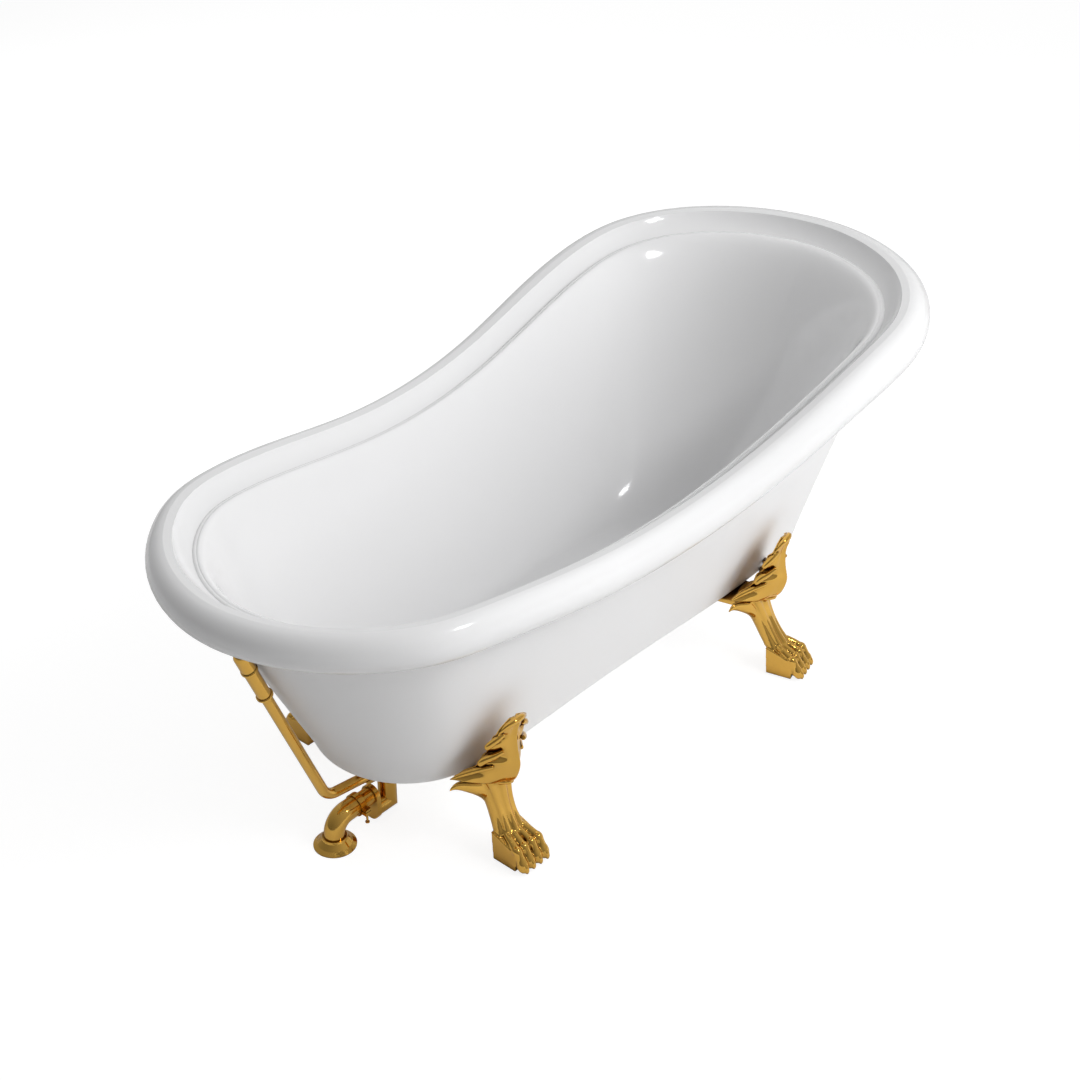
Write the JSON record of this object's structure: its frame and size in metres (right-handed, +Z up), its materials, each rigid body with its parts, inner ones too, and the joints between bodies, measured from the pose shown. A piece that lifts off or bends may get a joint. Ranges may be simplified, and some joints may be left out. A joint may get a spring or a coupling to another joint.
{
  "type": "clawfoot bathtub",
  "caption": "Slipper bathtub with a rolled rim raised at the head end, on lion paw feet, with an exposed drain, an overflow riser and a lifting stopper.",
  "frame": {"origin": "middle of the bounding box on the floor, under the tub", "axes": "+X to the high head end, +Z up, the waste and its riser at the -X end"},
  "size_m": [1.6999, 0.7712, 0.704],
  "materials": {
    "white_acrylic": "white gloss acrylic, smooth and polished",
    "gold_metal": "polished gold plate on brass",
    "board_wood": "raw particle board",
    "block_wood": "raw hardwood",
    "zinc_steel": "zinc-plated steel",
    "clear_rubber": "translucent soft rubber",
    "black_rubber": "black moulded rubber"
  },
  "bodies": {
    "tub": {"basin": "white_acrylic", "outer_skirt": "white_acrylic", "floor_board": "board_wood", "foot_blocks": "block_wood", "claw_foot_foot_end_near": "gold_metal", "claw_foot_foot_end_far": "gold_metal", "claw_foot_head_end_near": "gold_metal", "claw_foot_head_end_far": "gold_metal", "foot_studs": "zinc_steel", "foot_washers": "zinc_steel", "foot_nuts": "zinc_steel", "foot_pads": "clear_rubber", "drain_flange": "gold_metal", "drain_seal": "black_rubber", "waste_body": "gold_metal", "body_washer": "black_rubber", "body_nut": "gold_metal", "drop_tube": "gold_metal", "shoe_elbow": "gold_metal", "offset_coupling": "gold_metal", "outlet_barrel": "gold_metal", "outlet_elbow": "gold_metal", "hose_clamp": "gold_metal", "clamp_screw": "gold_metal", "riser_tube": "gold_metal", "riser_nut": "gold_metal", "sleeve": "gold_metal", "sleeve_collars": "gold_metal", "overflow_elbow": "gold_metal", "overflow_gasket": "black_rubber", "overflow_plate": "gold_metal", "overflow_screw": "gold_metal"},
    "stopper": {"stopper_cap": "gold_metal", "stopper_seal": "black_rubber", "stopper_stem": "gold_metal"},
    "flange": {"floor_flange": "gold_metal"}
  },
  "joints": [
    {"name": "stopper_slide", "type": "slide", "parent": "tub", "child": "stopper", "axis": [0, 0, -1], "range_m": [0, 0.008]},
    {"name": "flange_slide", "type": "slide", "parent": "tub", "child": "flange", "axis": [0, 0, 1], "range_m": [0, 0.005]}
  ]
}
